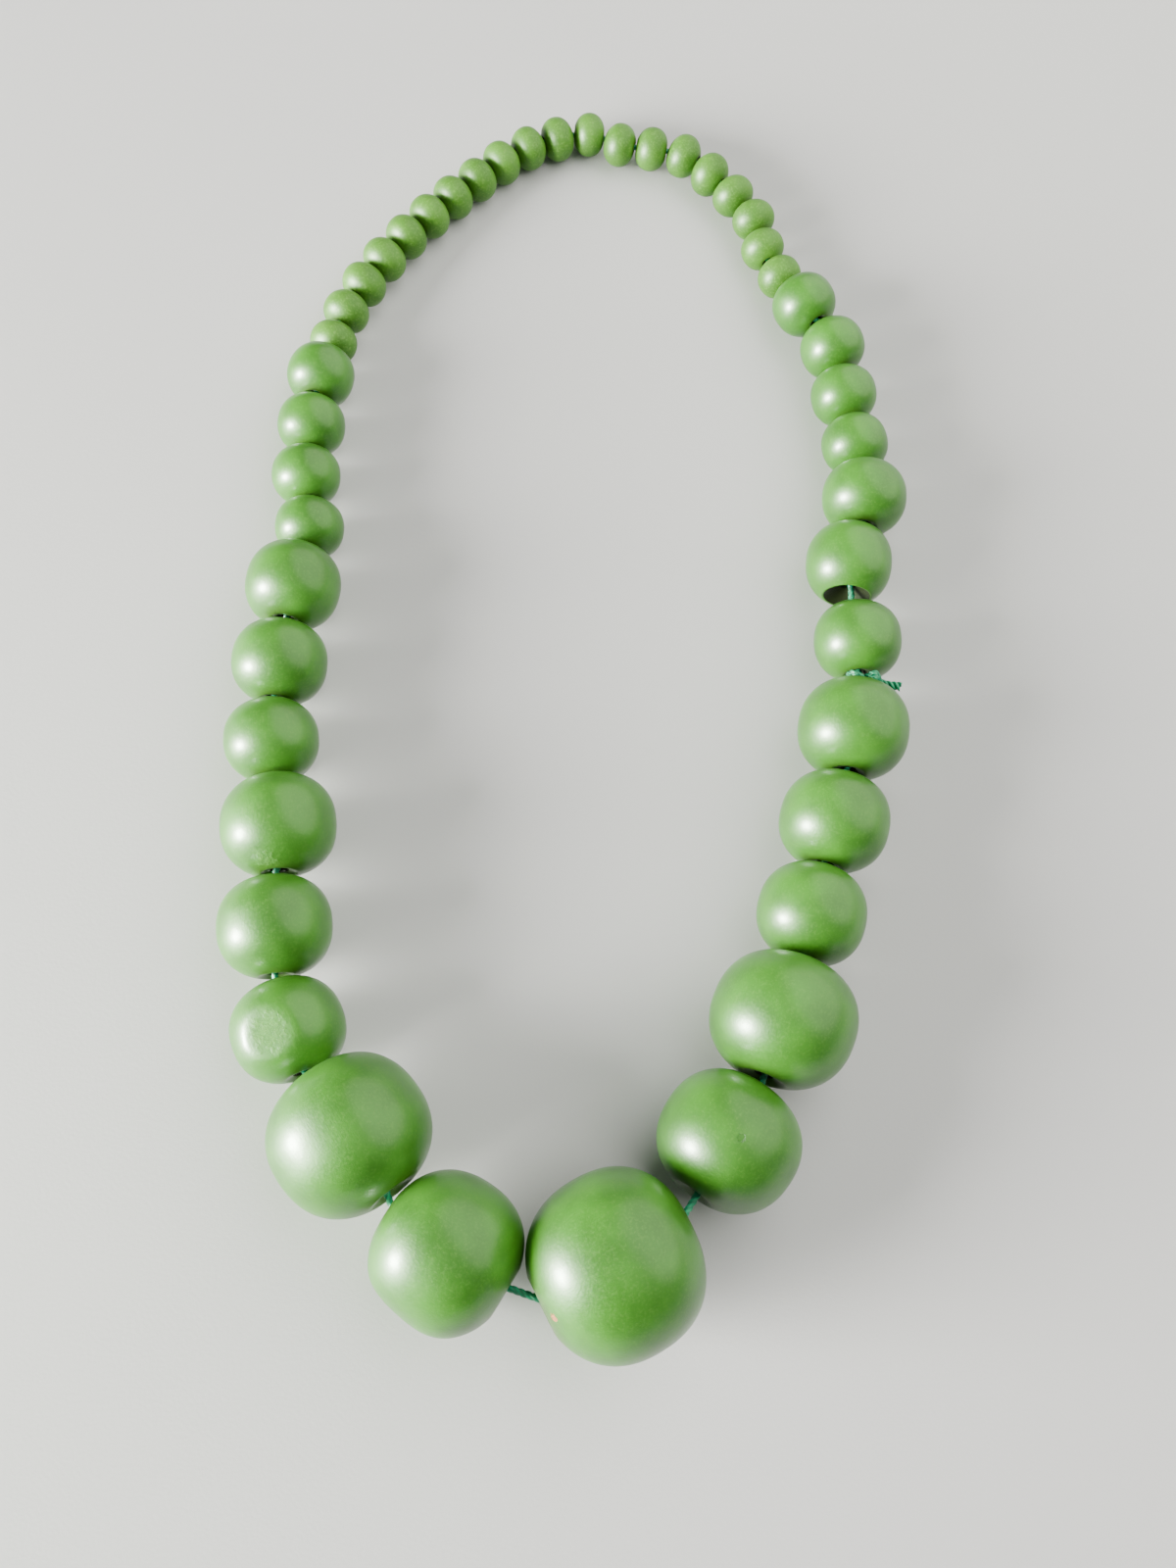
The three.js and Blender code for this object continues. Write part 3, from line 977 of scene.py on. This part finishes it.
@dataclass
class Knot:
    """The knot between two beads, with its two cut ends.

    The strands are given in thread diameters: outwards from the loop, up, and along the string.
    """

    stub: float = 2.0 * MM
    strands: Sequence[Sequence[tuple[float, float, float]]] = (
        (
            (0, 0, 0.3),
            (-1.2, 0.3, 0.3),
            (-1.75, 1.0, 0.2),
            (-1.1, 2.1, 0.05),
            (-0.2, 1.7, -0.1),
            (0.6, 1.0, 0.05),
            (1.25, 1.6, 0.3),
            (1.85, 2.4, 0.32),
            (2.5, 1.6, 0.3),
            (3.1, 0.7, 0.1),
            (4.1, 0.6, -0.1),
            (5.2, 0.8, -0.35),
            (6.2, 0.9, -0.5),
        ),
        (
            (0, 0, -0.3),
            (0.9, 0.4, -0.35),
            (1.25, 1.5, -0.35),
            (1.9, 2.35, -0.35),
            (2.4, 1.3, -0.35),
            (1.7, 0, -0.3),
            (0.2, -0.9, 0),
            (-1.3, -0.4, -0.25),
            (-2.1, 0.7, -0.3),
            (-1.6, 1.6, -0.35),
            (-0.8, 2.2, -0.4),
        ),
    )
    flares: Sequence[float] = (0.5, 0.1)
    cordage: Cordage = field(
        default_factory=lambda: Cordage(turn_length=3.6 * MM, step=0.2 * MM, groove=0.8)
    )

    def build(
        self,
        work: MeshWork,
        beads: Sequence[Bead],
        finish: bpy.types.Material,
    ) -> bpy.types.Object:
        """Makes the knot, colours it and puts it on the body.

        Args:
            work: Makes the object.
            beads: The beads, in order round the string.
            finish: Its material.

        Returns:
            The knot.
        """
        before, after = beads[KNOT_AFTER - 1].place, beads[KNOT_AFTER].place
        middle = (before.mouth_at(1) + after.mouth_at(-1)) / 2
        along = unit(after.centre - before.centre)
        side = unit(np.cross(along, (0.0, 0.0, 1.0)))
        frame = np.stack([side, np.cross(side, along), along])
        stubs = [after.mouth_at(-1, self.stub), before.mouth_at(1, self.stub)]
        all_points, all_faces, all_wood = [], [], []
        for i, (stub, strand) in enumerate(zip(stubs, self.strands)):
            route = np.vstack([stub, middle + THREAD_DIAMETER * np.array(strand) @ frame])
            points, faces, wood = self.cordage.lay(route, self.flares[i], KNOT_SEED + i)
            start = sum(len(part) for part in all_points)
            all_points.append(points)
            all_faces.extend([[corner + start for corner in face] for face in faces])
            all_wood.append(wood + (0, 0, STRANDS_APART * (i + 1)))
        knot = work.shape("tied_knot", np.vstack(all_points), all_faces, np.vstack(all_wood))
        knot.data.materials.append(finish)
        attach(knot, BODY)
        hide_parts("knot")
        return knot


@dataclass(frozen=True)
class Softbox:
    """A soft oval light, by where it stands from the necklace.

    It lights things, is mirrored by them, or both.
    """

    name: str
    azimuth: float
    elevation: float
    distance: float
    width: float
    height: float
    power: float
    colour: Colour
    lit: bool = True
    mirrored: bool = True

    def build(self) -> None:
        """Makes the light and turns it to the necklace."""
        light = bpy.data.lights.new(self.name, "AREA")
        light.shape = "ELLIPSE"
        light.size = self.width
        light.size_y = self.height
        light.energy = self.power
        light.color = self.colour
        made = bpy.data.objects.new(self.name, light)
        made.visible_diffuse = self.lit
        made.visible_glossy = self.mirrored
        way = Vector(facing(self.azimuth, self.elevation))
        made.location = way * self.distance
        made.rotation_mode = "QUATERNION"
        made.rotation_quaternion = way.to_track_quat("Z", "Y")
        bpy.context.scene.collection.objects.link(made)


@dataclass
class Studio:
    """The pale floor, the soft lights and the air's own light."""

    floor_size: float = 8.0
    air: Colour = (0.93, 0.96, 1.0)
    air_strength: float = 0.16
    lights: Sequence[Softbox] = (
        Softbox("window", -162, 13, 1.3, 0.8, 0.86, 125, (1.0, 0.985, 0.96), mirrored=False),
        Softbox("sheen", -162, 13, 1.3, 0.82, 0.88, 215, (0.56, 1.0, 0.42), lit=False),
        Softbox("gleam", -163, 14, 1.3, 0.34, 0.38, 215, (0.9, 1.0, 0.86), lit=False),
        Softbox("glow", 34, 40, 0.95, 2.3, 1.4, 32, (0.8, 1.0, 0.62), lit=False),
        Softbox("fill", 25, 55, 0.85, 1.4, 1.1, 15.5, (1.0, 0.99, 0.97), mirrored=False),
    )

    def build(self, work: MeshWork) -> None:
        """Makes the floor and the lights."""
        half = self.floor_size / 2
        square = np.array([[-half, -half, 0], [half, -half, 0], [half, half, 0], [-half, half, 0]])
        floor = work.shape("floor", square, [[0, 1, 2, 3]], square)
        floor.data.materials.append(FloorFinish().material())
        for light in self.lights:
            light.build()
        world = bpy.data.worlds.new("air")
        world.use_nodes = True
        background = world.node_tree.nodes["Background"]
        background.inputs["Color"].default_value = (*self.air, 1)
        background.inputs["Strength"].default_value = self.air_strength
        bpy.context.scene.world = world


@dataclass(frozen=True)
class PhotoCamera:
    """The camera, above the front of the loop and looking down on it."""

    place: tuple[float, float, float] = (-0.01853, -0.12814, 0.28822)
    sight: tuple[float, float, float] = (0.0667737, 0.3139088, -0.9471022)
    top: tuple[float, float, float] = (-0.0107652, 0.9493921, 0.3139088)
    lens: float = 30.75
    sensor: float = 36.0

    def build(self) -> None:
        """Makes the camera and looks through it."""
        data = bpy.data.cameras.new("photo_camera")
        data.lens = self.lens
        data.sensor_width = self.sensor
        data.clip_start = 0.01
        data.clip_end = 20
        camera = bpy.data.objects.new("photo_camera", data)
        sight = Vector(self.sight).normalized()
        right = sight.cross(Vector(self.top)).normalized()
        turn = Matrix((right, right.cross(sight), -sight)).transposed()
        camera.matrix_world = Matrix.Translation(self.place) @ turn.to_4x4()
        bpy.context.scene.collection.objects.link(camera)
        bpy.context.scene.camera = camera


def clear_start_scene() -> None:
    """Takes out what Blender starts with."""
    for item in list(bpy.data.objects):
        bpy.data.objects.remove(item)


def main() -> None:
    """Builds the necklace's looks, its floor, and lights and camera."""
    logging.basicConfig(level=logging.INFO, format="%(message)s")
    clear_start_scene()
    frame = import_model()
    work = MeshWork()
    row = BeadRow()
    row.read(frame["nodes"])
    row.build(work)
    cord = ThreadFinish().material()
    for sub_assembly in (Thread(), Knot()):
        made = sub_assembly.build(work, row.beads, cord)
        LOG.info("%s: %d faces", made.name, len(made.data.polygons))
    Studio().build(work)
    PhotoCamera().build()


if __name__ == "__main__":
    main()
